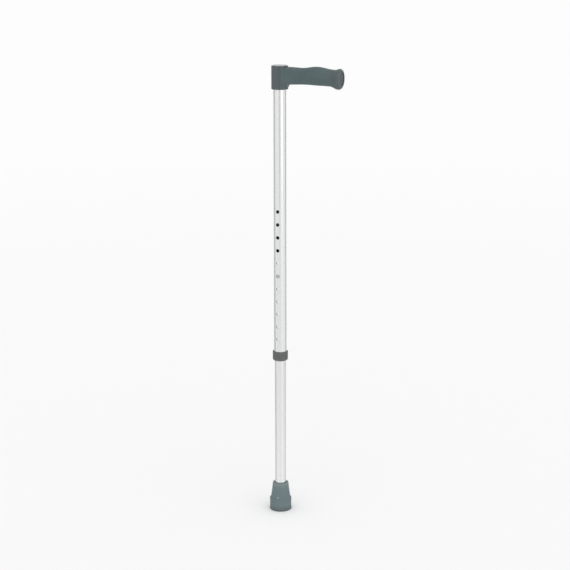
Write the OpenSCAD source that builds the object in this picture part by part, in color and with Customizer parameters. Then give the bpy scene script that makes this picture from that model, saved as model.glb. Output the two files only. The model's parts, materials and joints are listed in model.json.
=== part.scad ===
// Height-adjustable walking stick: two telescoping tubes, an offset handle and a rubber ferrule.
// The origin is the centre of the ferrule's tread, on the floor. The handle points along +X and the
// height holes face -Y. Every size is in millimetres and every angle in degrees.

/* [Shaft] */
// Height of the upper end of the outer tube above the floor
tube_top = 887.6; // [870:0.1:900]
// Height of the locking button above the floor
button_height = 483; // [475:1:490]
// Number of height holes, with the button in the middle one
hole_count = 11; // [7:2:11]
// Distance from one height hole to the next
hole_pitch = 25.4; // [20:0.1:25.4]
// Diameter of the height holes
hole_d = 6.8; // [6.6:0.1:7.2]

/* [Tubes] */
// Outer diameter of the outer tube
outer_d = 25.4; // [25.3:0.1:25.6]
// Wall thickness of the outer tube
outer_wall = 1.22; // [1.2:0.01:1.3]
// Outer diameter of the inner tube
inner_d = 22.2; // [22:0.1:22.2]
// Wall thickness of the inner tube
inner_wall = 1.2; // [1:0.1:1.3]
// Length of inner tube above the button
inner_above_button = 33; // [30:1:36]

/* [Locking button] */
// Diameter of the locking button
button_d = 6.3; // [6:0.1:6.4]
// How far the locking button stands out of the outer tube
button_proud = 2.4; // [1.5:0.1:2.6]

/* [Collar] */
// Height of the collar's lower edge above the floor
collar_bottom = 312; // [305:1:318]
// Length of the collar
collar_length = 18.5; // [14:0.5:22]
// Outer diameter of the collar
collar_d = 29.9; // [28.6:0.1:32]

/* [Handle] */
// Outer diameter of the socket round the tube
socket_d = 32.2; // [31.6:0.1:34]
// Length of the socket along the tube
socket_length = 44.4; // [43.6:0.2:48]
// Distance from the tube's axis to the end face of the grip
grip_reach = 124.4; // [122:0.1:128]
// Half width of the grip where it leaves the socket
root_half_width = 14; // [13.4:0.1:14.4]
// Half width of the grip at the palm swell
swell_half_width = 14.6; // [13.5:0.1:15.5]
// Half width of the flared end
flare_half_width = 18.6; // [17:0.1:19.5]
// Lean of the end face, its upper edge further out
end_lean = 1.2; // [0:0.1:4]

/* [Ferrule] */
// Height of the ferrule
ferrule_height = 57; // [55:1:64]
// Diameter of the ferrule at its tread
ferrule_d = 43.2; // [42.6:0.1:46]
// Height of the step between the foot and the neck
step_height = 23.8; // [20:0.1:26]

/* [Hidden] */
$fn = 96;

// Gap of a piece that slides, gap of a piece that is seated, and how far a cut overruns
running_gap = 0.06;
seat_gap = 0.05;
overrun = 1;

// The tubes
outer_r = outer_d / 2;
outer_bore_r = outer_r - outer_wall;
inner_r = inner_d / 2;
inner_bore_r = inner_r - inner_wall;
socket_bottom = tube_top - socket_length;
hole_row_top = button_height + hole_pitch * (hole_count - 1) / 2;
collar_lip = 2.6;
outer_bottom = collar_bottom + collar_lip;
inner_top = button_height + inner_above_button;
tread_floor = 8;
washer_thickness = 1.6;
inner_bottom = tread_floor + washer_thickness;

// The button, with a domed head and a flange inside the inner tube
button_r = button_d / 2;
button_tip = outer_r + button_proud;
button_dome = 2;
button_flange_r = 4.4;
button_flange_out = 8.7;
button_flange_in = 7.8;

// The V-shaped leaf spring behind the button
leaf_width = 8;
leaf_thickness = 0.6;
leaf_bend_r = 2.7;
leaf_drop = 38;
leaf_flat = 7;
back_leaf_y = 8.6;

// The glide on the inner tube
glide_height = 8;
glide_plug = 14;
glide_bore_r = 6;

// The collar
collar_r = collar_d / 2;
collar_round = 3;
collar_chamfer = 0.7;

// The handle socket and its rivets, whose heads sit on flat spots
socket_r = socket_d / 2;
socket_round = 1.4;
rivet_heights = [socket_bottom + 12, socket_bottom + 28];
rivet_r = 1.95;
rivet_head_r = 3.8;
rivet_head = 1.1;
rivet_spot = 0.2;
rivet_bulb = 2.5;
rivet_bulb_gap = 0.5;
rivet_bulb_r = 2.7;
rivet_seat_y = socket_r - 0.6;

// The stiff spine inside the grip, with bays between its ribs
spine_start = 13.2;
spine_end = 112;
spine_half_width = 6.5;
spine_height = 20;
spine_bottom = tube_top - 28;
spine_axis = spine_bottom + spine_height / 2;
spine_flange = 3;
bay_count = 3;
bay_depth = 4;
bay_start = 20;
bay_pitch = 22;
bay_length = 19;
peg_r = 4;
peg_length = 22;

// The grip's outline as [distance from the tube's axis, value] at each crest and hollow,
// with heights measured from the upper end of the tube
grip_start = 6;
waist_half_width = 12.9;
grip_top = [[8, -2.4], [20, -2.4], [44, -3.1], [74, 0], [110.5, -4.5], [119.5, -2.4]];
grip_bottom = [[10.5, -43.6], [17, -34.5], [54, -33.9], [86, -35], [101, -35.5], [118.4, -40.9]];
grip_width = [[6, root_half_width], [12, root_half_width], [30, waist_half_width],
              [48, waist_half_width], [76, swell_half_width], [105, waist_half_width + 0.7],
              [119.5, flare_half_width]];
grip_squareness = [[8, 5], [20, 5], [46, 2.8], [100, 2.4], [119, 2.1]];
lean_share = [[96, 0], [112, 1]];
end_round = 5.2;
round_steps = 5;
body_steps = 32;
ring_points = 32;

// The oval cap let into the end of the grip
cap_border = 5.8;
cap_thickness = 2.2;
cap_sink = 0.6;

// The ferrule, with a raised ring at its tread and one under its step, a hollow curve from there up
// to the neck with a moulded pip, a beaded lip and a grooved tread
ferrule_r = ferrule_d / 2;
ring_height = 5;
ring_step = 0.35;
foot_r = ferrule_r - ring_step;
upper_ring = 4.5;
shoulder_r = 19.5;
neck_r = 16;
neck_bend = 1.2;
bead_r = 2.3;
bead_middle_r = 13.4;
tread_round = 1.2;
step_gap = 0.8;
step_edge = [[0, -1.4], [-0.5, -0.3], [-1.2, 0]]; // [inwards, up] from the step's sharp edge
mouth_rise = 0.9;
pip_height = 28;
pip_turn = 5;
pip_r = 1.4;
pip_top_r = 0.9;
pip_root = 17.5;
pip_reach = 19.7;
groove_radii = [7, 11, 15];
groove_width = 1.6;
groove_depth = 1.6;

// The plug in the upper end of the tube: a hollow stem, and a flange with a slightly domed top
// whose outline is [distance in from the flange's edge, height above the tube's end]
plug_stem = 10;
plug_stem_wall = 2;
plug_edge = 0.1;
plug_crown = 1.5;
plug_outline = [[0, 0], [0, 0.8], [0.6, 1.2], [3, 1.45]];

// A value that is level at every knot [x, value] and eases from one to the next
function ease(t) = (1 - cos(180 * t)) / 2;
function knot_before(x, knots, i = 0) =
    (i >= len(knots) - 2 || x < knots[i + 1][0]) ? i : knot_before(x, knots, i + 1);
function eased(x, knots) =
    let (i = knot_before(x, knots),
         span = knots[i + 1][0] - knots[i][0],
         t = min(1, max(0, (x - knots[i][0]) / span)))
    knots[i][1] + (knots[i + 1][1] - knots[i][1]) * ease(t);

// One point of a rounded oval, as [sideways, up]; a higher squareness gives flatter sides
function blunt(v, squareness) = sign(v) * pow(abs(v), 2 / squareness);
function oval(half_w, half_h, squareness, count) =
    [for (i = [0 : count - 1])
        let (a = 360 * i / count)
        [half_w * blunt(cos(a), squareness), half_h * blunt(sin(a), squareness)]];

// Height and half height of the grip's middle at distance x
function grip_middle(x) = tube_top + (eased(x, grip_top) + eased(x, grip_bottom)) / 2;
function grip_half(x) = (eased(x, grip_top) - eased(x, grip_bottom)) / 2;

// One ring of the grip at distance x, brought in by inset
function grip_ring(x, inset) =
    let (lean = tan(end_lean) * eased(x, lean_share))
    [for (p = oval(eased(x, grip_width) - inset, grip_half(x) - inset,
                   eased(x, grip_squareness), ring_points))
        [x + lean * p[1], p[0], grip_middle(x) + p[1]]];

round_start = grip_reach - end_round;
grip_rings = concat(
    [for (i = [0 : body_steps - 1])
        grip_ring(grip_start + (round_start - grip_start) * i / body_steps, 0)],
    [for (i = [0 : round_steps])
        let (a = 90 * i / round_steps)
        grip_ring(round_start + end_round * sin(a), end_round * (1 - cos(a)))]);

// Joins rings of points into one closed skin
module loft(rings) {
    n = len(rings[0]);
    last = len(rings) - 1;
    sides = [for (k = [0 : last - 1]) for (i = [0 : n - 1])
        let (j = (i + 1) % n, near = k * n, far = (k + 1) * n)
        each [[near + i, far + i, far + j], [near + i, far + j, near + j]]];
    near_end = [for (i = [0 : n - 1]) i];
    far_end = [for (i = [0 : n - 1]) last * n + n - 1 - i];
    polyhedron(points = [for (ring = rings) each ring], faces = concat(sides, [near_end, far_end]));
}

// A flat strip of even thickness along a path of points
module strip(path, thickness) {
    last = len(path) - 1;
    sides = [for (i = [0 : last])
        let (d = path[min(last, i + 1)] - path[max(0, i - 1)])
        [-d[1], d[0]] / norm(d) * thickness / 2];
    polygon(concat([for (i = [0 : last]) path[i] + sides[i]],
                   [for (i = [last : -1 : 0]) path[i] - sides[i]]));
}

// Turns what is drawn along +Z to face the way that the height holes do, or the other way
module facing_front(height) { translate([0, 0, height]) rotate([90, 0, 0]) children(); }
module facing_back(height) { translate([0, 0, height]) rotate([-90, 0, 0]) children(); }

module tube(bottom, top, r, bore_r) {
    difference() {
        translate([0, 0, bottom]) cylinder(h = top - bottom, r = r);
        translate([0, 0, bottom - overrun]) cylinder(h = top - bottom + 2 * overrun, r = bore_r);
        children();
    }
}

module outer_tube() {
    color("#d9dcdf") tube(outer_bottom, tube_top, outer_r, outer_bore_r) {
        for (i = [0 : hole_count - 1])
            facing_front(hole_row_top - i * hole_pitch) cylinder(h = outer_r + overrun, d = hole_d);
        for (z = rivet_heights)
            facing_back(z) cylinder(h = outer_r + overrun, r = rivet_r + seat_gap);
    }
}

module inner_tube() {
    color("#cdd0d3") tube(inner_bottom, inner_top, inner_r, inner_bore_r)
        facing_front(button_height) cylinder(h = inner_r + overrun, r = button_r + running_gap);
}

module snap_button() {
    color("#9a9da0") facing_front(button_height) rotate_extrude() polygon(concat(
        [[0, button_flange_in], [button_flange_r, button_flange_in],
         [button_flange_r, button_flange_out], [button_r, button_flange_out]],
        [for (a = [0 : 15 : 90])
            [button_r * cos(a), button_tip - button_dome * (1 - sin(a))]]));
}

module button_spring() {
    bend_z = button_height - leaf_drop;
    front_leaf_y = leaf_thickness / 2 - button_flange_in;
    path = concat(
        [[front_leaf_y, button_height + leaf_flat], [front_leaf_y, button_height - leaf_flat]],
        [for (a = [180 : 15 : 360]) [leaf_bend_r * cos(a), bend_z + leaf_bend_r * sin(a)]],
        [[back_leaf_y, button_height - leaf_flat], [back_leaf_y, button_height + leaf_flat]]);
    color("#8c8f92") translate([-leaf_width / 2, 0, 0]) rotate([90, 0, 90])
        linear_extrude(leaf_width) strip(path, leaf_thickness);
}

module tube_glide() {
    color("#e8e6df") difference() {
        union() {
            translate([0, 0, inner_top]) cylinder(h = glide_height, r = outer_bore_r - running_gap);
            translate([0, 0, inner_top - glide_plug])
                cylinder(h = glide_plug + overrun, r = inner_bore_r - seat_gap);
        }
        translate([0, 0, inner_top - glide_plug - overrun])
            cylinder(h = glide_plug + glide_height + 2 * overrun, r = glide_bore_r);
    }
}

module collar() {
    top = collar_bottom + collar_length;
    color("#676868") rotate_extrude() polygon(concat(
        [[inner_r + running_gap, collar_bottom]],
        [for (a = [-90 : 15 : 0])
            [collar_r + collar_round * (cos(a) - 1), collar_bottom + collar_round * (sin(a) + 1)]],
        [[collar_r, top - collar_chamfer], [collar_r - collar_chamfer, top],
         [outer_r + seat_gap, top], [outer_r + seat_gap, outer_bottom],
         [inner_r + running_gap, outer_bottom]]));
}

module socket() {
    bore_r = outer_r + seat_gap;
    difference() {
        rotate_extrude() polygon(concat(
            [[bore_r, socket_bottom]],
            [for (a = [-90 : 22.5 : 0])
                [socket_r + socket_round * (cos(a) - 1), socket_bottom + socket_round * (sin(a) + 1)]],
            [for (a = [0 : 22.5 : 90])
                [socket_r + socket_round * (cos(a) - 1), tube_top + socket_round * (sin(a) - 1)]],
            [[bore_r, tube_top]]));
        for (z = rivet_heights) facing_back(z) {
            cylinder(h = socket_r + overrun, r = rivet_r + seat_gap);
            translate([0, 0, rivet_seat_y]) cylinder(h = rivet_head + overrun, r = rivet_head_r + rivet_spot);
        }
    }
}

module spine() {
    difference() {
        translate([spine_start, -spine_half_width, spine_bottom])
            cube([spine_end - spine_start, 2 * spine_half_width, spine_height]);
        for (side = [-1, 1]) for (i = [0 : bay_count - 1])
            translate([bay_start + i * bay_pitch, side * spine_half_width - bay_depth,
                       spine_bottom + spine_flange])
                cube([bay_length, 2 * bay_depth, spine_height - 2 * spine_flange]);
        translate([spine_end - peg_length - overrun, 0, spine_axis]) rotate([0, 90, 0])
            cylinder(h = peg_length + 2 * overrun, r = peg_r);
    }
}

module handle_core() {
    color("#5a6667") {
        socket();
        spine();
    }
}

// Places an oval plate square to the leaning end face, from depth `back` to depth `front`
module end_plate(front, back, inset) {
    half_h = grip_half(grip_reach) - cap_border;
    translate([grip_reach, 0, grip_middle(grip_reach)]) rotate([0, end_lean, 0])
        translate([-back, 0, 0]) rotate([90, 0, 90]) linear_extrude(back - front)
            polygon(oval(flare_half_width - cap_border - inset, half_h - inset, 2, 48));
}

module grip_cover() {
    fit = seat_gap;
    color("#57676a") difference() {
        loft(grip_rings);
        translate([0, 0, socket_bottom - overrun])
            cylinder(h = socket_length + 2 * overrun, r = socket_r + fit);
        translate([0, -spine_half_width - fit, spine_bottom - fit])
            cube([spine_end + fit, 2 * (spine_half_width + fit), spine_height + 2 * fit]);
        translate([spine_end - overrun, 0, spine_axis]) rotate([0, 90, 0])
            cylinder(h = grip_reach - spine_end, r = peg_r + fit);
        end_plate(-overrun, cap_sink + cap_thickness, 0);
    }
}

module grip_end_cap() {
    color("#5f6b6d") {
        end_plate(cap_sink, cap_sink + cap_thickness, seat_gap);
        translate([spine_end - peg_length, 0, spine_axis]) rotate([0, 90, 0])
            cylinder(h = grip_reach - spine_end + peg_length - cap_thickness, r = peg_r - seat_gap);
    }
}

module handle_rivets() {
    bulb_out = outer_bore_r - rivet_bulb_gap;
    color("#b9bcbe") for (z = rivet_heights) facing_back(z) rotate_extrude() polygon(concat(
        [[0, bulb_out - rivet_bulb], [rivet_bulb_r, bulb_out - rivet_bulb], [rivet_bulb_r, bulb_out],
         [rivet_r, bulb_out], [rivet_r, rivet_seat_y]],
        [for (a = [0 : 15 : 90]) [rivet_head_r * cos(a), rivet_seat_y + rivet_head * sin(a)]]));
}

module top_plug() {
    flange_r = outer_r - plug_edge;
    stem_r = outer_bore_r - seat_gap;
    color("#c9cccd") translate([0, 0, tube_top]) rotate_extrude() polygon(concat(
        [[0, 0], [stem_r - plug_stem_wall, 0], [stem_r - plug_stem_wall, -plug_stem],
         [stem_r, -plug_stem], [stem_r, 0]],
        [for (p = plug_outline) [flange_r - p[0], p[1]]],
        [[0, plug_crown]]));
}

module ferrule() {
    neck_top = ferrule_height - bead_r;
    shoulder_z = step_height + step_gap;
    tread = [for (r = groove_radii)
        each [[r, 0], [r, groove_depth], [r + groove_width, groove_depth], [r + groove_width, 0]]];
    foot = concat(
        [for (a = [-90 : 30 : 0])
            [ferrule_r + tread_round * (cos(a) - 1), tread_round * (sin(a) + 1)]],
        [[ferrule_r, ring_height], [foot_r, ring_height + ring_step],
         [foot_r, step_height - upper_ring - ring_step], [ferrule_r, step_height - upper_ring]],
        [for (p = step_edge) [ferrule_r + p[0], step_height + p[1]]]);
    neck = [for (t = [0 : 0.125 : 1])
        [neck_r + (shoulder_r - neck_r) * pow(1 - t, neck_bend),
         shoulder_z + (neck_top - bead_r - shoulder_z) * t]];
    bead = [for (a = [-30 : 20 : 150])
        [bead_middle_r + bead_r * cos(a), neck_top + bead_r * sin(a)]];
    bore_r = inner_r + seat_gap;
    color("#6c7f82") {
        rotate_extrude() polygon(concat(
            [[0, 0]], tread, foot, neck, bead,
            [[bore_r, neck_top + mouth_rise], [bore_r, tread_floor], [0, tread_floor]]));
        rotate([0, 0, pip_turn]) facing_front(pip_height) translate([0, 0, pip_root])
            cylinder(h = pip_reach - pip_root, r1 = pip_r, r2 = pip_top_r);
    }
}

module ferrule_washer() {
    color("#a5a8aa") translate([0, 0, tread_floor])
        cylinder(h = washer_thickness, r = inner_r - seat_gap);
}

outer_tube();
inner_tube();
snap_button();
button_spring();
tube_glide();
collar();
handle_core();
grip_cover();
grip_end_cap();
handle_rivets();
top_plug();
ferrule();
ferrule_washer();
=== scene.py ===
import json
import math

import bmesh
import bpy
from mathutils import Matrix, Vector


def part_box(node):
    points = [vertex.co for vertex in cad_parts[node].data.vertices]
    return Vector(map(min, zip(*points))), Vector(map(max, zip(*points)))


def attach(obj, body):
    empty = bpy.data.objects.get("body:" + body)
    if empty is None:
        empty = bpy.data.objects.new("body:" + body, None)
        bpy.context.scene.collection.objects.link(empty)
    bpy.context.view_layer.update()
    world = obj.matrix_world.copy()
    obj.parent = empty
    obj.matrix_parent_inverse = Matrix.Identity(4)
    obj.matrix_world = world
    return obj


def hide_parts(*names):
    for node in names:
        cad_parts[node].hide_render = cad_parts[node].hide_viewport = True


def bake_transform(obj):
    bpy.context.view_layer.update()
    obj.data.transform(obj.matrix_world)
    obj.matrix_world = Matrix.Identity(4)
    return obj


# A height-adjustable walking stick, standing on a pale studio floor. All lengths are in metres. The
# shaft runs up +Z from the middle of the tread, the grip points along +X and the holes face -Y.

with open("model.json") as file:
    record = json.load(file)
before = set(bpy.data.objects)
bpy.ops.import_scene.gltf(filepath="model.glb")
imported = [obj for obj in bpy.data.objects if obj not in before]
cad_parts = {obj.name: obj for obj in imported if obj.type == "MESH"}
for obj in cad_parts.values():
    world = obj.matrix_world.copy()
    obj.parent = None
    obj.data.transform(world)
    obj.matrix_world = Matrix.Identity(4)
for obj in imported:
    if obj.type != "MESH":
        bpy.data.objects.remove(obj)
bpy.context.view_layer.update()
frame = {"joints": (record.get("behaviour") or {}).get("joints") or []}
scene = bpy.context.scene
scene.view_settings.view_transform = "Standard"

MM = 0.001
SEGMENTS = 128
MERGE = 1e-7
SHARP_EDGE = math.radians(33)

# A small rounded edge has one ring in its middle, set in by this share of the edge's size
EDGE_MIDDLE = 0.3


# ---------------------------------------------------------------------------------------------
# Places and sizes. What the frame says is read from it, and the rest is small detail.

def size_of(node):
    """The half width along Y, the lowest height and the highest height of a CAD node."""
    low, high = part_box(node)
    return (high.y - low.y) / 2, low.z, high.z


outer_r, outer_bottom, tube_top = size_of("outer_tube")
inner_r, inner_bottom, inner_top = size_of("inner_tube")
collar_r, collar_bottom, collar_top = size_of("collar")
plug_r, plug_low, plug_high = size_of("top_plug")
ferrule_r, floor_z, ferrule_top = size_of("ferrule")
washer_r, washer_low, washer_high = size_of("ferrule_washer")
glide_r, glide_low, glide_high = size_of("tube_glide")
core_low, core_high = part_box("handle_core")
socket_r = -core_low.x
socket_bottom = core_low.z
spine_end = core_high.x
button_low, button_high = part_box("snap_button")
button_z = (button_low.z + button_high.z) / 2
button_flange_r = (button_high.z - button_low.z) / 2
button_tip = -button_low.y
button_base = -button_high.y

outer_wall = 1.22 * MM
inner_wall = 1.2 * MM
outer_bore_r = outer_r - outer_wall
inner_bore_r = inner_r - inner_wall
tube_edge = 0.3 * MM
seat_gap = 0.05 * MM

height_slide = next(joint for joint in frame["joints"] if joint["name"] == "height_slide")
hole_count = 11
hole_pitch = height_slide["range_m"][1] / (hole_count // 2)
hole_r = 3.4 * MM
hole_edge = 0.35 * MM
hole_heights = [button_z + hole_pitch * (i - hole_count // 2) for i in range(hole_count)]
button_r = 3.15 * MM

# The small moulded pip on the ferrule, just above its step. Its reach is from the shaft's axis.
pip_z = 28 * MM
pip_turn = math.radians(5)
pip_root = 17.5 * MM
pip_reach = 19.7 * MM
pip_root_r = 1.5 * MM
pip_r = 1.4 * MM
pip_round = 0.7 * MM
pip_tip = (pip_reach * math.sin(pip_turn), -pip_reach * math.cos(pip_turn), pip_z)


# ---------------------------------------------------------------------------------------------
# Mesh tools

def ease(share):
    return (1 - math.cos(math.pi * min(1.0, max(0.0, share)))) / 2


def eased(x, knots):
    """A value that is level at every knot (x, value) and eases from one to the next."""
    for (x0, v0), (x1, v1) in zip(knots, knots[1:]):
        if x <= x1:
            return v0 + (v1 - v0) * ease((x - x0) / (x1 - x0))
    return knots[-1][1]


def oval(half_w, half_h, squareness, angle):
    """One point, as (sideways, up), of an oval whose sides get flatter with squareness."""
    c, s = math.cos(angle), math.sin(angle)
    reach = (abs(c) ** squareness + abs(s) ** squareness) ** (-1 / squareness)
    return half_w * reach * c, half_h * reach * s


def rounded(corners, steps=6):
    """The points of an outline of (r, z, radius) corners, each corner rounded to its radius."""
    points = []
    for i, (r, z, radius) in enumerate(corners):
        corner = Vector((r, z))
        if radius == 0:
            points.append(corner)
            continue
        back = (Vector(corners[i - 1][:2]) - corner).normalized()
        ahead = (Vector(corners[(i + 1) % len(corners)][:2]) - corner).normalized()
        half = back.angle(ahead) / 2
        centre = corner + (back + ahead).normalized() * radius / math.sin(half)
        start = corner + back * radius / math.tan(half) - centre
        end = corner + ahead * radius / math.tan(half) - centre
        turn = math.pi - 2 * half
        for k in range(steps + 1):
            a = turn * k / steps
            points.append(centre + (start * math.sin(turn - a) + end * math.sin(a)) / math.sin(turn))
    return points


def skin(rings, closed):
    """The points and faces of a surface through rings of equally many points."""
    count = len(rings[0])
    faces = []
    for k in range(len(rings) if closed else len(rings) - 1):
        near = k * count
        far = (k + 1) % len(rings) * count
        for i in range(count):
            j = (i + 1) % count
            faces.append((near + i, near + j, far + j, far + i))
    return [point for ring in rings for point in ring], faces


def lathe(outline, place=Matrix.Identity(4), segments=SEGMENTS):
    """Turns an outline of (r, z) points about Z: closed on itself, or open if it starts on the axis."""
    rings = []
    for r, z in outline:
        angles = [2 * math.pi * i / segments for i in range(segments)]
        rings.append([place @ Vector((r * math.cos(a), r * math.sin(a), z)) for a in angles])
    return skin(rings, closed=outline[0][0] > 0)


def together(*parts):
    """Several (points, faces) as one."""
    points, faces = [], []
    for part_points, part_faces in parts:
        shift = len(points)
        points += part_points
        faces += [tuple(i + shift for i in face) for face in part_faces]
    return points, faces


def solid(name, points, faces):
    """A mesh object with its doubled points merged and its faces turned outwards."""
    work = bmesh.new()
    corners = [work.verts.new(point) for point in points]
    for face in faces:
        work.faces.new([corners[i] for i in face])
    bmesh.ops.remove_doubles(work, verts=work.verts, dist=MERGE)
    loose = [v for v in work.verts if not v.link_faces]
    bmesh.ops.delete(work, geom=loose, context="VERTS")
    bmesh.ops.recalc_face_normals(work, faces=work.faces)
    mesh = bpy.data.meshes.new(name)
    work.to_mesh(mesh)
    work.free()
    piece = bpy.data.objects.new(name, mesh)
    scene.collection.objects.link(piece)
    return piece


def combine(piece, tool, operation):
    """Cuts the tool out of the piece or joins it on, and removes the tool."""
    modifier = piece.modifiers.new("combine", "BOOLEAN")
    modifier.object = tool
    modifier.operation = operation
    modifier.solver = "EXACT"
    graph = bpy.context.evaluated_depsgraph_get()
    mesh = bpy.data.meshes.new_from_object(piece.evaluated_get(graph))
    piece.modifiers.clear()
    piece.data = mesh
    bpy.data.objects.remove(tool)


def box_points(low, high):
    """The points and faces of a box between two corners."""
    corners = [(x, y, z) for x in (low[0], high[0]) for y in (low[1], high[1]) for z in (low[2], high[2])]
    faces = [(0, 1, 3, 2), (4, 6, 7, 5), (0, 4, 5, 1), (2, 3, 7, 6), (0, 2, 6, 4), (1, 5, 7, 3)]
    return corners, faces


def round_walls(piece):
    """Gives a tube's walls the normals of true cylinders, so that gloss runs straight past the holes."""
    mesh = piece.data
    normals = []
    for face in mesh.polygons:
        outwards = [mesh.vertices[i].co * Vector((1, 1, 0)) for i in face.vertices]
        radii = [point.length for point in outwards]
        on_wall = max(radii) - min(radii) < MERGE
        for point in outwards:
            side = math.copysign(1, point.dot(face.normal))
            normals.append(side * point.normalized() if on_wall else Vector())
    mesh.normals_split_custom_set(normals)


def fit_out(piece, material, body=None, node=None, walls=False):
    """Smooths a finished piece, gives it its material and puts it on its body."""
    for face in piece.data.polygons:
        face.use_smooth = True
    piece.data.set_sharp_from_angle(angle=SHARP_EDGE)
    piece.data.materials.clear()
    piece.data.materials.append(material)
    if walls:
        round_walls(piece)
    else:
        normals = piece.modifiers.new("even_normals", "WEIGHTED_NORMAL")
        normals.keep_sharp = True
    if body:
        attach(piece, body)
    if node:
        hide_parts(node)


# ---------------------------------------------------------------------------------------------
# Material tools

def add(tree, kind, sockets=(), **settings):
    """Adds a node, with its settings, and with each named socket set to a value or linked."""
    node = tree.nodes.new(kind)
    for key, value in settings.items():
        setattr(node, key, value)
    for key, value in dict(sockets).items():
        if isinstance(value, bpy.types.NodeSocket):
            tree.links.new(value, node.inputs[key])
        else:
            node.inputs[key].default_value = value
    return node


def between(tree, share, low, high):
    """A value that goes from low to high as share goes from 0 to 1."""
    return add(tree, "ShaderNodeMapRange", {"Value": share, "To Min": low, "To Max": high}).outputs[0]


def stepped(tree, value, start, stop):
    """0 below start, 1 above stop, and smooth between."""
    sockets = {"Value": value, "From Min": start, "From Max": stop}
    return add(tree, "ShaderNodeMapRange", sockets, interpolation_type="SMOOTHSTEP").outputs[0]


def blended(tree, share, first, second):
    """A colour that goes from first to second as share goes from 0 to 1."""
    node = tree.nodes.new("ShaderNodeMix")
    node.data_type = "RGBA"
    colours = [s for s in node.inputs if s.type == "RGBA"]
    tree.links.new(share, node.inputs[0])
    for socket, colour in zip(colours, (first, second)):
        if isinstance(colour, bpy.types.NodeSocket):
            tree.links.new(colour, socket)
        else:
            socket.default_value = (*colour, 1)
    return next(s for s in node.outputs if s.type == "RGBA")


def part_of(tree, vector, axis):
    """A vector's part along the X, Y or Z axis."""
    return add(tree, "ShaderNodeSeparateXYZ", {"Vector": vector}).outputs[axis]


def place_in(tree):
    """The place on the surface, in the frame's own coordinates."""
    return add(tree, "ShaderNodeTexCoord").outputs["Object"]


def distance_from(tree, spot):
    """How far a place is from a spot."""
    sockets = {0: place_in(tree), 1: spot}
    return add(tree, "ShaderNodeVectorMath", sockets, operation="DISTANCE").outputs["Value"]


def distance_from_shaft(tree):
    """How far a place is from the shaft's axis."""
    flat = add(tree, "ShaderNodeVectorMath", {0: place_in(tree), 1: (1, 1, 0)}, operation="MULTIPLY")
    return add(tree, "ShaderNodeVectorMath", {0: flat.outputs[0]}, operation="LENGTH").outputs["Value"]


def noise(tree, vector, scale, detail=4.0):
    sockets = {"Vector": vector, "Scale": scale, "Detail": detail}
    return add(tree, "ShaderNodeTexNoise", sockets).outputs[0]


def surface(name, dark, light, roughness, mottle, grain, depth, metallic=0.0, specular=0.5,
            stretch=(1, 1, 1), wear=0.0):
    """A surface mottled between two colours, with a fine grain and edges that wear lighter.

    mottle and grain are patterns per metre, depth is the grain's in metres, and stretch draws both
    patterns out. wear is the share by which the edges get lighter.
    """
    material = bpy.data.materials.new(name)
    material.use_nodes = True
    tree = material.node_tree
    shader = tree.nodes["Principled BSDF"]
    shader.inputs["Metallic"].default_value = metallic
    shader.inputs["Specular IOR Level"].default_value = specular
    drawn = add(tree, "ShaderNodeMapping", {"Vector": place_in(tree), "Scale": stretch}).outputs["Vector"]
    patches = stepped(tree, noise(tree, drawn, mottle), 0.3, 0.7)
    fine = noise(tree, drawn, grain, detail=2.0)
    colour = blended(tree, patches, dark, light)
    if wear:
        edges = add(tree, "ShaderNodeNewGeometry").outputs["Pointiness"]
        worn = tuple(c + wear * (1 - c) for c in light)
        colour = blended(tree, stepped(tree, edges, 0.52, 0.62), colour, worn)
    tree.links.new(colour, shader.inputs["Base Color"])
    tree.links.new(between(tree, patches, *roughness), shader.inputs["Roughness"])
    bump = add(tree, "ShaderNodeBump", {"Height": fine, "Distance": depth, "Strength": 1.0})
    tree.links.new(bump.outputs["Normal"], shader.inputs["Normal"])
    return material


def both(tree, first, second):
    """The product of two shares."""
    return add(tree, "ShaderNodeMath", {0: first, 1: second}, operation="MULTIPLY").outputs[0]


def tint(material, share, colour):
    """Takes a material towards a colour by a share that is built in its tree."""
    tree = material.node_tree
    base = tree.nodes["Principled BSDF"].inputs["Base Color"]
    tree.links.new(blended(tree, share, base.links[0].from_socket, colour), base)


drawn_out = (1, 1, 0.006)
upper_aluminium = surface("upper_aluminium", (0.785, 0.795, 0.79), (0.80, 0.81, 0.805), (0.22, 0.25),
                          700, 2600, 0.0006 * MM, metallic=1.0, stretch=drawn_out)
lower_aluminium = surface("lower_aluminium", (0.785, 0.795, 0.79), (0.80, 0.81, 0.805), (0.23, 0.26),
                          700, 2600, 0.0006 * MM, metallic=1.0, stretch=drawn_out)


def shade_holes_and_dull_bore(metal, skin_r, bore_r):
    """Paints shade on the walls of a tube's holes, except where they face up, and dulls its bore."""
    tree = metal.node_tree
    radius = distance_from_shaft(tree)
    normal = add(tree, "ShaderNodeNewGeometry").outputs["Normal"]
    under_skin = stepped(tree, radius, skin_r - 0.15 * MM, skin_r - 0.5 * MM)
    not_up = stepped(tree, part_of(tree, normal, "Z"), 0.6, 0.1)
    # Painted shade on the hole walls that do not face up
    tint(metal, both(tree, under_skin, not_up), (0.10, 0.10, 0.10))
    in_bore = stepped(tree, radius, bore_r + 0.25 * MM, bore_r + 0.1 * MM)
    tint(metal, in_bore, (0.8, 0.8, 0.8))
    finish = tree.nodes["Principled BSDF"].inputs["Roughness"]
    tree.links.new(between(tree, in_bore, finish.links[0].from_socket, 1.0), finish)


def paint_light_on_skin(metal, skin_r, start, stop):
    """Paints light onto a tube's skin by degrees from one height to another, and evenly above that."""
    tree = metal.node_tree
    painted_light_share = stepped(tree, part_of(tree, place_in(tree), "Z"), start, stop)
    on_skin = stepped(tree, distance_from_shaft(tree), skin_r - 0.5 * MM, skin_r - 0.15 * MM)
    tint(metal, both(tree, painted_light_share, on_skin), (0.86, 0.87, 0.865))


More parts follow.
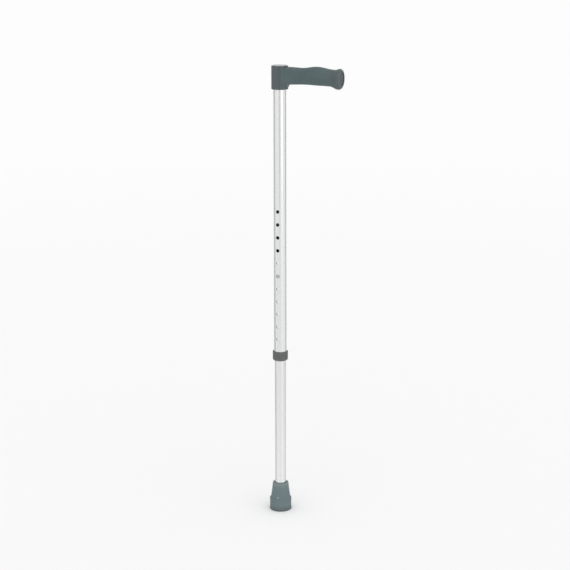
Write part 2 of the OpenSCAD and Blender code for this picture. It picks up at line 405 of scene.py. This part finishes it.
shade_holes_and_dull_bore(upper_aluminium, outer_r, outer_bore_r)
shade_holes_and_dull_bore(lower_aluminium, inner_r, inner_bore_r)
# Painted light on the lower tube where it lies inside the upper tube and shows through its holes
paint_light_on_skin(lower_aluminium, inner_r, outer_bottom, outer_bottom + 90 * MM)
button_steel = surface("button_steel", (0.42, 0.42, 0.42), (0.50, 0.50, 0.50), (0.24, 0.34),
                       900, 4000, 0.004 * MM, metallic=1.0)
spring_steel = surface("spring_steel", (0.40, 0.41, 0.42), (0.50, 0.51, 0.52), (0.25, 0.38),
                       500, 3000, 0.003 * MM, metallic=1.0)
washer_steel = surface("washer_steel", (0.52, 0.53, 0.54), (0.62, 0.63, 0.64), (0.30, 0.45),
                       300, 2000, 0.004 * MM, metallic=1.0)
rivet_aluminium = surface("rivet_aluminium", (0.56, 0.57, 0.58), (0.66, 0.67, 0.68), (0.28, 0.42),
                          600, 3000, 0.004 * MM, metallic=1.0)
white_nylon = surface("white_nylon", (0.76, 0.75, 0.71), (0.82, 0.81, 0.78), (0.35, 0.5),
                      120, 1500, 0.01 * MM)
plug_plastic = surface("plug_plastic", (0.48, 0.505, 0.515), (0.535, 0.56, 0.57), (0.38, 0.5),
                       150, 1400, 0.012 * MM, wear=0.1)
collar_plastic = surface("collar_plastic", (0.098, 0.103, 0.101), (0.114, 0.119, 0.117), (0.42, 0.55),
                         90, 1500, 0.04 * MM, specular=0.35, wear=0.05)
handle_plastic = surface("handle_plastic", (0.046, 0.064, 0.071), (0.053, 0.073, 0.080), (0.30, 0.36),
                         60, 1300, 0.02 * MM, specular=0.75, wear=0.05)
grip_plastic = surface("grip_plastic", (0.067, 0.101, 0.106), (0.079, 0.114, 0.119), (0.48, 0.62),
                       55, 1200, 0.08 * MM, specular=0.35, wear=0.05)

# The sleeve has a painted highlight at its edge on the socket, and is greyer at its flare and round its
# rim, where it also has a painted highlight
tree = grip_plastic.node_tree
painted_root_highlight = stepped(tree, distance_from_shaft(tree), socket_r + 0.9 * MM, socket_r + 0.4 * MM)
# Painted highlight along the sleeve's edge on the socket
tint(grip_plastic, painted_root_highlight, (0.138, 0.170, 0.175))
reach = part_of(tree, place_in(tree), "X")
tint(grip_plastic, stepped(tree, reach, 95 * MM, 112 * MM), (0.076, 0.101, 0.103))
# Painted highlight, greyer, round the sleeve's rim
tint(grip_plastic, stepped(tree, reach, 122 * MM, 124 * MM), (0.100, 0.115, 0.115))

cap_plastic = surface("cap_plastic", (0.046, 0.058, 0.060), (0.055, 0.068, 0.070), (0.42, 0.55),
                      80, 1300, 0.05 * MM, specular=0.35)
ferrule_rubber = surface("ferrule_rubber", (0.128, 0.174, 0.187), (0.146, 0.192, 0.204), (0.6, 0.75),
                         50, 1000, 0.08 * MM, specular=0.3, wear=0.05)

# The rubber has painted shade near the floor and painted light near its lip, and is paler on its pip
tree = ferrule_rubber.node_tree
rubber_height = part_of(tree, place_in(tree), "Z")
# Painted shade near the floor
tint(ferrule_rubber, stepped(tree, rubber_height, 14 * MM, 1 * MM), (0.110, 0.134, 0.138))
# Painted light near the lip
tint(ferrule_rubber, stepped(tree, rubber_height, 45 * MM, ferrule_top), (0.182, 0.224, 0.230))
on_pip = stepped(tree, distance_from(tree, pip_tip), 2.1 * MM, pip_r)
tint(ferrule_rubber, on_pip, (0.34, 0.40, 0.41))


# ---------------------------------------------------------------------------------------------
# The tubes, each a wall with round holes on its front

PATCH_CELLS = 16
PATCH_ANGLE = math.radians(48)
REST_COLUMNS = 44
PATCH_RINGS = (0.1, 0.27, 0.55)

column_angles = [PATCH_ANGLE * (2 * i / PATCH_CELLS - 1) for i in range(PATCH_CELLS)]
column_angles += [PATCH_ANGLE + 2 * (math.pi - PATCH_ANGLE) * i / REST_COLUMNS
                  for i in range(REST_COLUMNS)]


def join_rings(faces, first, second):
    """Faces between two rings of point numbers."""
    for i in range(len(first)):
        j = (i + 1) % len(first)
        faces.append((first[i], first[j], second[j], second[i]))


def patch_border(row):
    """The (column, row) of each grid point round the square patch that starts at a row."""
    steps = range(PATCH_CELLS)
    border = [(i, row) for i in steps]
    border += [(PATCH_CELLS, row + i) for i in steps]
    border += [(PATCH_CELLS - i, row + PATCH_CELLS) for i in steps]
    border += [(0, row + PATCH_CELLS - i) for i in steps]
    return border


def pierced_wall(points, faces, radius, rows, heights, drill):
    """A cylinder wall through the rows, pierced at the heights. Gives its end rings and hole rings."""
    def point(angle, z):
        """Adds a point of the wall and gives its number."""
        points.append((radius * math.sin(angle), -radius * math.cos(angle), z))
        return len(points) - 1

    grid = [[point(angle, z) for angle in column_angles] for z in rows]
    columns = len(column_angles)
    pierced_rows = range(1, 1 + PATCH_CELLS * len(heights))
    for j in range(len(rows) - 1):
        for i in range(columns):
            if j not in pierced_rows or i >= PATCH_CELLS:
                k = (i + 1) % columns
                faces.append((grid[j][i], grid[j][k], grid[j + 1][k], grid[j + 1][i]))
    hole_rings = []
    for n, height in enumerate(heights):
        border = patch_border(1 + PATCH_CELLS * n)
        spots = [(PATCH_ANGLE * (2 * i / PATCH_CELLS - 1), rows[j]) for i, j in border]
        rims = []
        for angle, z in spots:
            turn = math.atan2(z - height, angle * outer_r)
            rims.append((math.asin(drill * math.cos(turn) / radius), height + drill * math.sin(turn)))
        rings = [[point(*rim) for rim in rims]]
        for share in PATCH_RINGS:
            rings.append([point(rim[0] + (spot[0] - rim[0]) * share, rim[1] + (spot[1] - rim[1]) * share)
                          for rim, spot in zip(rims, spots)])
        rings.append([grid[j][i] for i, j in border])
        for first, second in zip(rings, rings[1:]):
            join_rings(faces, first, second)
        hole_rings.append(rings[0])
    return grid[0], grid[-1], hole_rings


def tube(name, radius, bore_r, low, high, heights, drill):
    """A tube with rounded ends and a row of round holes with softened edges."""
    points, faces = [], []
    first_row = heights[0] - hole_pitch / 2
    zone = [first_row + hole_pitch * i / PATCH_CELLS for i in range(PATCH_CELLS * len(heights) + 1)]
    rows = [low + tube_edge, *zone, high - tube_edge]
    outside = pierced_wall(points, faces, radius, rows, heights, drill + hole_edge)
    inside = pierced_wall(points, faces, bore_r, rows, heights, drill)

    def ring(r, z):
        """A ring about the tube's axis, as point numbers."""
        start = len(points)
        points.extend((r * math.sin(a), -r * math.cos(a), z) for a in column_angles)
        return list(range(start, len(points)))

    for end, z, inwards in ((0, low, 1), (1, high, -1)):
        middle = EDGE_MIDDLE * tube_edge
        rings = [outside[end], ring(radius - middle, z + middle * inwards),
                 ring(radius - tube_edge, z), ring(bore_r + tube_edge, z), inside[end]]
        for first, second in zip(rings, rings[1:]):
            join_rings(faces, first, second)

    def hole_ring(height, r, sunk, turns):
        """A ring inside a hole, sunk below the tube's skin, as point numbers."""
        start = len(points)
        for turn in turns:
            x = r * math.cos(turn)
            points.append((x, sunk - math.sqrt(radius ** 2 - x ** 2), height + r * math.sin(turn)))
        return list(range(start, len(points)))

    for n, height in enumerate(heights):
        border = patch_border(1 + PATCH_CELLS * n)
        turns = [math.atan2(rows[j] - height, PATCH_ANGLE * (2 * i / PATCH_CELLS - 1) * outer_r)
                 for i, j in border]
        middle = EDGE_MIDDLE * hole_edge
        rings = [outside[2][n], hole_ring(height, drill + middle, middle, turns),
                 hole_ring(height, drill, hole_edge, turns), inside[2][n]]
        for first, second in zip(rings, rings[1:]):
            join_rings(faces, first, second)
    return solid(name, points, faces)


upper_tube = tube("upper_tube", outer_r, outer_bore_r, outer_bottom, tube_top, hole_heights, hole_r)
fit_out(upper_tube, upper_aluminium, "upper", "outer_tube", walls=True)
lower_tube = tube("lower_tube", inner_r, inner_bore_r, inner_bottom, inner_top, [button_z],
                  button_r + 0.06 * MM)
fit_out(lower_tube, lower_aluminium, "lower", "inner_tube", walls=True)


# ---------------------------------------------------------------------------------------------
# The lock button, its leaf spring and the glide

def facing_front(z):
    """Puts what is drawn along +Z along -Y, at a height."""
    return Matrix.Translation((0, 0, z)) @ Matrix.Rotation(math.radians(90), 4, "X")


def facing_back(z):
    """Puts what is drawn along +Z along +Y, at a height."""
    return Matrix.Translation((0, 0, z)) @ Matrix.Rotation(math.radians(-90), 4, "X")


def lock_button():
    flange = 0.9 * MM
    dome = 2 * MM
    outline = rounded([(0, button_base, 0), (button_flange_r, button_base, 0.2 * MM),
                       (button_flange_r, button_base + flange, 0.2 * MM),
                       (button_r, button_base + flange, 0.1 * MM),
                       (button_r, button_tip - dome, 0)])
    for i in range(1, 13):
        a = math.radians(90) * i / 12
        outline.append((button_r * math.cos(a), button_tip - dome + dome * math.sin(a)))
    return solid("lock_button", *lathe(outline, facing_front(button_z), 64))


fit_out(lock_button(), button_steel, "button", "snap_button")


def leaf(name, path):
    """A strip of spring steel, bent along a path of (y, z) points."""
    width = 8 * MM
    thickness = 0.6 * MM
    path = [Vector(p) for p in path]
    rings = []
    for i, p in enumerate(path):
        along = (path[min(len(path) - 1, i + 1)] - path[max(0, i - 1)]).normalized()
        side = Vector((-along.y, along.x)) * thickness / 2
        rings.append([(x, *(p + side * k)) for x, k in ((-width / 2, 1), (width / 2, 1), (width / 2, -1),
                                                        (-width / 2, -1))])
    points, faces = skin(rings, closed=False)
    last = 4 * (len(path) - 1)
    return solid(name, points, [*faces, (3, 2, 1, 0), (last, last + 1, last + 2, last + 3)])


bend_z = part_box("button_spring")[0].z + 3 * MM
bend_r = 2.7 * MM
leaf_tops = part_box("button_spring")[1].z
leaf_knee = leaf_tops - 14 * MM
front_y = 0.3 * MM - button_base
back_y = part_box("button_spring")[1].y - 0.3 * MM


def straight(start, end, steps=12):
    return [Vector(start).lerp(Vector(end), i / steps) for i in range(steps + 1)]


front_leaf = leaf("spring_front_leaf", straight((-bend_r, bend_z), (front_y, leaf_knee))
                  + straight((front_y, leaf_knee), (front_y, leaf_tops))[1:])
back_leaf = leaf("spring_back_leaf",
                 [(bend_r * math.cos(a), bend_z + bend_r * math.sin(a))
                  for a in [math.pi * (1 + i / 16) for i in range(17)]]
                 + straight((bend_r, bend_z), (back_y, leaf_knee))[1:]
                 + straight((back_y, leaf_knee), (back_y, leaf_tops))[1:])
fit_out(front_leaf, spring_steel, None, "button_spring")
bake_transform(front_leaf)
fit_out(back_leaf, spring_steel, "lower", "button_spring")


def glide_bush():
    bore_r = 6 * MM
    stem_r = inner_bore_r - seat_gap
    outline = rounded([(bore_r, glide_low, 0.4 * MM), (stem_r, glide_low, 0.8 * MM),
                       (stem_r, inner_top, 0), (glide_r, inner_top, 0.3 * MM),
                       (glide_r, glide_high, 0.9 * MM), (bore_r, glide_high, 0.4 * MM)])
    return solid("glide_bush", *lathe(outline, segments=96))


fit_out(glide_bush(), white_nylon, "lower", "tube_glide")


# ---------------------------------------------------------------------------------------------
# The collar and the plug in the tube's upper end

def end_collar():
    lip_r = inner_r + 0.06 * MM
    bore_r = outer_r + seat_gap
    outline = rounded([(lip_r, collar_bottom, 0.3 * MM), (collar_r, collar_bottom, 3 * MM),
                       (collar_r, collar_top, 0.8 * MM), (bore_r, collar_top, 0.2 * MM),
                       (bore_r, outer_bottom, 0), (lip_r, outer_bottom, 0)])
    return solid("end_collar", *lathe(outline))


def tube_plug():
    stem_r = outer_bore_r - seat_gap
    outline = rounded([(0, plug_high, 0), (plug_r - 3 * MM, plug_high - 0.05 * MM, 0),
                       (plug_r, plug_high - 0.3 * MM, 0.6 * MM), (plug_r, tube_top, 0.1 * MM),
                       (stem_r, tube_top, 0), (stem_r, plug_low, 0.4 * MM),
                       (stem_r - 2 * MM, plug_low, 0.4 * MM), (stem_r - 2 * MM, tube_top, 0),
                       (0, tube_top, 0)])
    return solid("tube_plug", *lathe(outline))


fit_out(end_collar(), collar_plastic, "upper", "collar")
fit_out(tube_plug(), plug_plastic, "upper", "top_plug")


# ---------------------------------------------------------------------------------------------
# The handle: a socket with a ribbed spine, a contoured sleeve over the spine and an oval end cap

rivet_low, rivet_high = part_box("handle_rivets")
rivet_head_r = 3.8 * MM
rivet_head = 1.1 * MM
rivet_seat = rivet_high.y - rivet_head
rivet_heights = [rivet_low.z + rivet_head_r, rivet_high.z - rivet_head_r]
spine_start = 13.2 * MM
spine_half_width = 6.5 * MM
spine_low = tube_top - 28 * MM
spine_high = tube_top - 8 * MM
spine_axis = (spine_low + spine_high) / 2
peg_r = 4 * MM
peg_length = 22 * MM


def spine():
    """The stiff bar inside the sleeve, with bays between its ribs and a bore for the cap's peg."""
    beam = solid("spine", *box_points((spine_start, -spine_half_width, spine_low),
                                      (spine_end, spine_half_width, spine_high)))
    bays = []
    for side in (-1, 1):
        for i in range(3):
            start = (20 + 22 * i) * MM
            bays.append(box_points((start, side * spine_half_width - 4 * MM, spine_low + 3 * MM),
                                   (start + 19 * MM, side * spine_half_width + 4 * MM,
                                    spine_high - 3 * MM)))
    along = Matrix.Translation((spine_end - peg_length, 0, spine_axis)) @ Matrix.Rotation(
        math.radians(90), 4, "Y")
    peg_bore = lathe([(0, 0), (peg_r, 0), (peg_r, 1.1 * peg_length), (0, 1.1 * peg_length)], along, 48)
    combine(beam, solid("bays", *together(*bays, peg_bore)), "DIFFERENCE")
    return beam


def handle_socket():
    bore_r = outer_r + seat_gap
    outline = rounded([(bore_r, socket_bottom, 0.3 * MM), (socket_r, socket_bottom, 1.4 * MM),
                       (socket_r, tube_top, 1.4 * MM), (bore_r, tube_top, 0.2 * MM)])
    socket = solid("handle_socket", *lathe(outline))
    combine(socket, spine(), "UNION")
    spot_r = rivet_head_r + 0.2 * MM
    spots = [lathe([(0, rivet_seat), (spot_r, rivet_seat), (spot_r, 2 * rivet_seat),
                    (0, 2 * rivet_seat)], facing_back(z), 64) for z in rivet_heights]
    combine(socket, solid("spots", *together(*spots)), "DIFFERENCE")
    return socket


def socket_rivets():
    """Two blind rivets: domed heads, each with the stub of its mandrel sunk in the middle."""
    shank_r = 1.95 * MM
    bulb_r = 2.7 * MM
    bulb_in = rivet_low.y
    bulb_out = bulb_in + 2.5 * MM
    mandrel_r = 1.1 * MM
    outline = rounded([(0, bulb_in, 0), (bulb_r, bulb_in, 0.8 * MM), (bulb_r, bulb_out, 0.3 * MM),
                       (shank_r, bulb_out, 0), (shank_r, rivet_seat, 0),
                       (rivet_head_r, rivet_seat, 0)])
    for i in range(13):
        a = math.radians(10 + 58 * i / 12)
        outline.append((rivet_head_r * math.cos(a), rivet_seat + rivet_head * math.sin(a)))
    top = rivet_seat + rivet_head
    outline += rounded([(mandrel_r, top - 0.1 * MM, 0), (mandrel_r, top - 0.5 * MM, 0),
                        (0, top - 0.4 * MM, 0)])
    return solid("socket_rivets", *together(*[lathe(outline, facing_back(z), 64)
                                              for z in rivet_heights]))


fit_out(handle_socket(), handle_plastic, "upper", "handle_core")
fit_out(socket_rivets(), rivet_aluminium, "upper", "handle_rivets")

# The sleeve's outline as (distance from the shaft's axis, value) at each crest and hollow, with
# heights measured from the upper end of the tube
grip_reach = 124.4 * MM
end_lean = math.tan(math.radians(1.2))
end_round = 5.2 * MM
flare_half = 18.6 * MM
grip_top = [(8, -2.4), (20, -2.4), (44, -3.1), (74, 0), (110.5, -4.5), (119.5, -2.4)]
grip_bottom = [(12, -43.6), (18.5, -34.5), (54, -33.9), (86, -35), (101, -35.5), (118.4, -40.9)]
grip_width = [(6, 14), (12, 14), (30, 12.9), (48, 12.9), (76, 14.6), (105, 13.6), (119.5, 18.6)]
grip_squareness = [(8, 5), (20, 5), (46, 2.8), (100, 2.4), (119, 2.1)]
lean_share = [(96, 0), (112, 1)]
ridge_share = [(56, 0), (70, 1), (94, 1), (106, 0)]
ridge_height = 1.3 * MM
ridge_up = 1 * MM
ridge_above = 3 * MM
ridge_below = 6.5 * MM
cap_border = 5.8 * MM
cap_sink = 0.6 * MM
cap_thickness = 2.2 * MM
ring_angles = [2 * math.pi * i / SEGMENTS for i in range(SEGMENTS)]
ROOT_TRIES = 12


def grip_middle(x):
    """The height of the middle of the sleeve's section."""
    return tube_top + (eased(x / MM, grip_top) + eased(x / MM, grip_bottom)) / 2 * MM


def grip_half(x):
    """Half the height of the sleeve's section."""
    return (eased(x / MM, grip_top) - eased(x / MM, grip_bottom)) / 2 * MM


def grip_point(x, angle, inset=0.0):
    """The point of the sleeve's surface at distance x and at an angle round its section."""
    half_w = eased(x / MM, grip_width) * MM - inset
    y, up = oval(half_w, grip_half(x) - inset, eased(x / MM, grip_squareness), angle)
    off_crest = up - ridge_up
    spread = ridge_above if off_crest > 0 else ridge_below
    ridge = ridge_height * eased(x / MM, ridge_share) * math.exp(-(off_crest / spread) ** 2)
    y += math.copysign(ridge, y) if abs(y) > half_w / 2 else 0.0
    lean = end_lean * eased(x / MM, lean_share)
    return Vector((x + lean * up, y, grip_middle(x) + up))


def end_ring(half_w, half_h, squareness, depth):
    """A ring about the middle of the end face, at a depth behind it."""
    middle = grip_middle(grip_reach)
    ring = []
    for angle in ring_angles:
        y, up = oval(half_w, half_h, squareness, angle)
        ring.append(Vector((grip_reach - depth + end_lean * up, y, middle + up)))
    return ring


def on_socket(y, z, off=0.0):
    """The point of the socket's surface on the grip's side, at a place sideways and a height."""
    return Vector((math.sqrt((socket_r + seat_gap + off) ** 2 - y ** 2), y, z))


def root_point(angle, inset=0.0, off=0.0):
    """Where the sleeve's surface meets the socket's, at an angle round the sleeve's section.

    Each try moves halfway towards the socket under the last one, which closes in on the place.
    """
    x = 10 * MM
    for _ in range(ROOT_TRIES):
        p = grip_point(x, angle, inset)
        x = (x + on_socket(p.y, p.z, off).x) / 2
    return on_socket(p.y, p.z, off)


def grip_sleeve():
    """One closed skin: out along the grip, over its rim, into the cap's seat and back up the bore."""
    root_lip = 0.7 * MM
    body_steps = 120
    round_start = grip_reach - end_round
    rings = [[root_point(angle, root_lip) for angle in ring_angles],
             [root_point(angle, EDGE_MIDDLE * root_lip, EDGE_MIDDLE * root_lip)
              for angle in ring_angles]]
    for k in range(body_steps + 1):
        ring = []
        for angle in ring_angles:
            start = root_point(angle, 0.0, root_lip).x
            x = start + (round_start - start) * k / body_steps
            ring.append(grip_point(x, angle))
        rings.append(ring)
    for i in range(1, 11):
        a = math.radians(90) * i / 10
        inset = end_round * (1 - math.cos(a))
        rings.append([grip_point(round_start + end_round * math.sin(a), angle, inset)
                      for angle in ring_angles])
    seat_w = flare_half - cap_border
    seat_h = grip_half(grip_reach) - cap_border
    soft = 0.35 * MM
    floor_depth = cap_sink + cap_thickness
    middle = EDGE_MIDDLE * soft
    rings += [end_ring(seat_w + soft, seat_h + soft, 2, 0),
              end_ring(seat_w + middle, seat_h + middle, 2, middle),
              end_ring(seat_w, seat_h, 2, soft),
              end_ring(seat_w, seat_h, 2, floor_depth)]
    peg_w = peg_r + seat_gap
    pocket_w = spine_half_width + seat_gap
    pocket_h = (spine_high - spine_low) / 2 + seat_gap
    for x in (grip_reach - floor_depth, spine_end + seat_gap):
        rings.append([Vector((x, peg_w * math.cos(a), spine_axis + peg_w * math.sin(a)))
                      for a in ring_angles])
    pocket = [oval(pocket_w, pocket_h, 30, a) for a in ring_angles]
    rings.append([Vector((spine_end + seat_gap, y, spine_axis + up)) for y, up in pocket])
    rings.append([on_socket(y, spine_axis + up) for y, up in pocket])
    return solid("grip_sleeve", *skin(rings, closed=True))


def grip_cap():
    """An oval plate with a raised rim and a shallow dish, on a peg."""
    half_w = flare_half - cap_border - seat_gap
    half_h = grip_half(grip_reach) - cap_border - seat_gap
    rim = 2.2 * MM
    dish = 0.5 * MM
    rings = [end_ring(half_w, half_h, 2, cap_sink + cap_thickness)]
    for i in range(7):
        a = math.radians(90) * i / 6
        soft = 0.5 * MM
        inset = soft * (1 - math.cos(a))
        rings.append(end_ring(half_w - inset, half_h - inset, 2, cap_sink + soft * (1 - math.sin(a))))
    for i in range(9):
        share = i / 8
        inset = rim * (0.55 + 0.45 * share)
        rings.append(end_ring(half_w - inset, half_h - inset, 2, cap_sink + dish * ease(share)))
    for share in (0.75, 0.5, 0.25, 0.0):
        rings.append(end_ring((half_w - rim) * share, (half_h - rim) * share, 2, cap_sink + dish))
    peg_w = peg_r - seat_gap
    peg = [[Vector((x, peg_w * math.cos(a), spine_axis + peg_w * math.sin(a))) for a in ring_angles]
           for x in (grip_reach - cap_sink - cap_thickness, spine_end - peg_length + 0.5 * MM)]
    tip = [[Vector((spine_end - peg_length, r * math.cos(a), spine_axis + r * math.sin(a)))
            for a in ring_angles] for r in (peg_w - 0.5 * MM, 0)]
    back = list(reversed(tip)) + list(reversed(peg))
    return solid("grip_cap", *skin(back + rings, closed=False))


fit_out(grip_sleeve(), grip_plastic, "upper", "grip_cover")
fit_out(grip_cap(), cap_plastic, "upper", "grip_end_cap")


# ---------------------------------------------------------------------------------------------
# The ferrule: a grooved tread, a foot with a step, a hollow-curved neck and a beaded lip

step_z = 23.8 * MM
ring_height = 5 * MM
ring_step = 0.35 * MM
upper_ring = 4.5 * MM
foot_r = ferrule_r - ring_step
shoulder_r = 19.5 * MM
neck_r = 16 * MM
neck_bend = 1.2
bead_r = 2.3 * MM
bead_middle_r = 13.4 * MM
groove_radii = (7, 11, 15)
groove = 1.6 * MM


def rubber_tip():
    corners = [(0, floor_z, 0)]
    for r in groove_radii:
        for dr, dz, soft in ((0, 0, 0.25), (0, 1, 0.3), (1, 1, 0.3), (1, 0, 0.25)):
            corners.append((r * MM + dr * groove, dz * groove, soft * MM))
    corners += [(ferrule_r, floor_z, 1.2 * MM), (ferrule_r, ring_height, 0.3 * MM),
                (foot_r, ring_height + ring_step, 0.3 * MM),
                (foot_r, step_z - upper_ring - ring_step, 0.3 * MM),
                (ferrule_r, step_z - upper_ring, 0.3 * MM), (ferrule_r, step_z, 0.9 * MM),
                (shoulder_r + 0.6 * MM, step_z, 0.5 * MM)]
    neck_aim = (shoulder_r, step_z + 1.6 * MM, 0)
    outline = rounded([*corners, neck_aim])
    outline.pop()
    shoulder_z = step_z + 0.8 * MM
    neck_top = ferrule_top - bead_r
    steps = 24
    for i in range(steps + 1):
        t = i / steps
        outline.append((neck_r + (shoulder_r - neck_r) * (1 - t) ** neck_bend,
                        shoulder_z + (neck_top - bead_r - shoulder_z) * t))
    for i in range(16):
        a = math.radians(-30 + 180 * i / 15)
        outline.append((bead_middle_r + bead_r * math.cos(a), neck_top + bead_r * math.sin(a)))
    bore_r = inner_r + seat_gap
    outline += [(bore_r, neck_top + 0.9 * MM), (bore_r, washer_low), (0, washer_low)]
    tip = solid("rubber_tip", *lathe(outline))
    place = Matrix.Rotation(pip_turn, 4, "Z") @ facing_front(pip_z)
    pip = rounded([(0, pip_root, 0), (pip_root_r, pip_root, 0), (pip_r, pip_reach, pip_round),
                   (0, pip_reach, 0)])
    combine(tip, solid("pip", *lathe(pip, place, 48)), "UNION")
    return tip


def tip_washer():
    soft = 0.2 * MM
    outline = rounded([(0, washer_low, 0), (washer_r, washer_low, soft), (washer_r, washer_high, soft),
                       (0, washer_high, 0)])
    return solid("tip_washer", *lathe(outline, segments=96))


fit_out(rubber_tip(), ferrule_rubber, "lower", "ferrule")
fit_out(tip_washer(), washer_steel, "lower", "ferrule_washer")


# ---------------------------------------------------------------------------------------------
# The studio: a pale floor with painted shade round the shaft, even light and cards that only the gloss sees

def studio_object(name, corners):
    """A flat four-cornered thing that belongs to the studio."""
    mesh = bpy.data.meshes.new(name)
    mesh.from_pydata(corners, [], [(0, 1, 2, 3)])
    obj = bpy.data.objects.new(name, mesh)
    scene.collection.objects.link(obj)
    return obj


def studio_floor():
    reach = 30
    floor = studio_object("floor", [(-reach, -reach, 0), (reach, -reach, 0), (reach, reach, 0),
                                    (-reach, reach, 0)])
    material = bpy.data.materials.new("studio_floor")
    material.use_nodes = True
    tree = material.node_tree
    shader = tree.nodes["Principled BSDF"]
    shader.inputs["Roughness"].default_value = 0.9
    shader.inputs["Specular IOR Level"].default_value = 0.0
    # Painted shade: the floor is darker near the shaft and paler further off
    far_off = stepped(tree, distance_from(tree, (0, 0, 0)), 0.3, 6.0)
    colour = blended(tree, far_off, (0.90, 0.90, 0.90), (0.93, 0.93, 0.93))
    tree.links.new(colour, shader.inputs["Base Color"])
    floor.data.materials.append(material)


def gloss_card(name, azimuth, spread, radiance, floor_radiance, near_radiance, distance=3.0):
    """An upright card and a wedge of floor in front of it that are seen only in gloss.

    azimuth and spread (the half width) are in degrees as seen from the shaft, and 0 is at -Y. The
    three radiances are the card's, the floor's far from the shaft and the floor's near it.
    """
    height = 2.5
    near = 0.03
    lift = 0.5 * MM
    a = math.radians(azimuth)
    outwards = Vector((math.sin(a), -math.cos(a), 0))
    sideways = Vector((math.cos(a), math.sin(a), 0)) * math.tan(math.radians(spread))
    up = Vector((0, 0, 1))
    corners = {
        name: [(outwards - sideways) * distance, (outwards + sideways) * distance,
               (outwards + sideways) * distance + up * height,
               (outwards - sideways) * distance + up * height],
        name + "_floor": [(outwards + sideways * k) * r + up * lift
                          for k, r in ((-1, near), (1, near), (1, distance), (-1, distance))],
    }
    for piece in corners:
        card = studio_object(piece, corners[piece])
        card.visible_camera = False
        card.visible_diffuse = False
        card.visible_transmission = False
        card.visible_shadow = False
        material = bpy.data.materials.new(piece)
        material.use_nodes = True
        tree = material.node_tree
        if piece == name:
            above_floor = stepped(tree, part_of(tree, place_in(tree), "Z"), 0, 0.25)
            strength = between(tree, above_floor, floor_radiance, radiance)
        else:
            far_off = stepped(tree, distance_from(tree, (0, 0, 0)), 0.15, 0.9)
            strength = between(tree, far_off, near_radiance, floor_radiance)
        light = add(tree, "ShaderNodeEmission", {"Color": (1, 1, 1, 1), "Strength": strength})
        tree.links.new(light.outputs[0], tree.nodes["Material Output"].inputs["Surface"])
        card.data.materials.append(material)


camera_azimuth = 22
studio_floor()
# The tubes' bright streaks, then the grey one between them and the dark ones at their sides
gloss_card("softbox_right", camera_azimuth + 37.5, 13, 1.55, 1.0, 1.1)
gloss_card("softbox_left", camera_azimuth - 45, 10, 1.02, 0.88, 1.08)
gloss_card("grey_front", camera_azimuth - 6, 6.5, 0.5, 0.86, 1.02)
gloss_card("grey_right", camera_azimuth + 115.5, 13, 0.5, 0.5, 0.7, distance=1.6)
gloss_card("grey_left", camera_azimuth - 113, 21, 0.6, 0.56, 0.7, distance=1.6)

world = bpy.data.worlds.new("studio")
scene.world = world
world.use_nodes = True
tree = world.node_tree
sky = tree.nodes["Background"].inputs
sky["Color"].default_value = (1, 1, 1, 1)

# The sky that shows is as pale as the floor, and the sky that lights is a little less bright
shows = add(tree, "ShaderNodeLightPath").outputs["Is Camera Ray"]
tree.links.new(between(tree, shows, 0.89, 0.98), sky["Strength"])

sun = bpy.data.objects.new("ceiling_light", bpy.data.lights.new("ceiling_light", "SUN"))
sun.data.energy = 0.63
sun.data.angle = math.radians(70)
sun.rotation_euler = (math.radians(28), math.radians(22), 0)
scene.collection.objects.link(sun)


# ---------------------------------------------------------------------------------------------
# The camera

# The camera's reach is its distance from the shaft. It looks down by the pitch, past the shaft by the
# turn, and is tipped by the roll, all in degrees.
camera_reach = 2.791
camera_height = 1.1438
camera_pitch = 13.705
camera_turn = 0.192
camera_roll = -0.085
field_of_view = 21.8574

camera = bpy.data.objects.new("camera", bpy.data.cameras.new("camera"))
azimuth = math.radians(camera_azimuth)
camera.data.sensor_width = 36
camera.data.angle = math.radians(field_of_view)
camera.matrix_world = (
    Matrix.Translation((camera_reach * math.sin(azimuth), -camera_reach * math.cos(azimuth), camera_height))
    @ Matrix.Rotation(azimuth - math.radians(camera_turn), 4, "Z")
    @ Matrix.Rotation(math.radians(90 - camera_pitch), 4, "X")
    @ Matrix.Rotation(math.radians(camera_roll), 4, "Z"))
scene.collection.objects.link(camera)
scene.camera = camera
